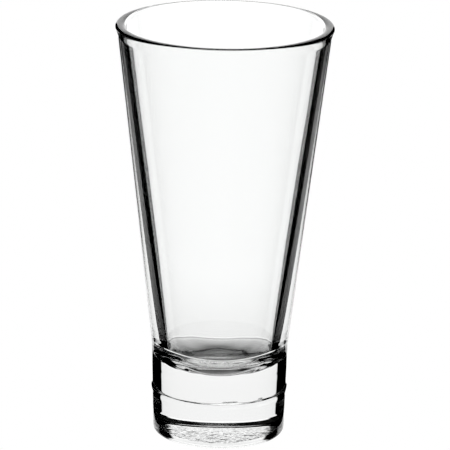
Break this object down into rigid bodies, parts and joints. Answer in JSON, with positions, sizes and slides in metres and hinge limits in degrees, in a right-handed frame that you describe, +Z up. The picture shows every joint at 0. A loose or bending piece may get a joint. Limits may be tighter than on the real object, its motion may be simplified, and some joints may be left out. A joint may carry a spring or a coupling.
{
  "type": "pint glass",
  "caption": "Tall flared clear-glass drinking tumbler on a solid cylindrical base, with a rounded beaded lip and a shallow recess underneath.",
  "frame": {"origin": "centre of the underside, on the plane the glass stands on", "axes": "+Z up the glass's axis towards the mouth; X and Y are alike, because the glass is a body of revolution"},
  "size_m": [0.0916, 0.0916, 0.1785],
  "materials": {
    "glass": "clear fire-polished soda-lime glass, stippled underside"
  },
  "bodies": {
    "root": {"glass": "glass"}
  },
  "joints": []
}
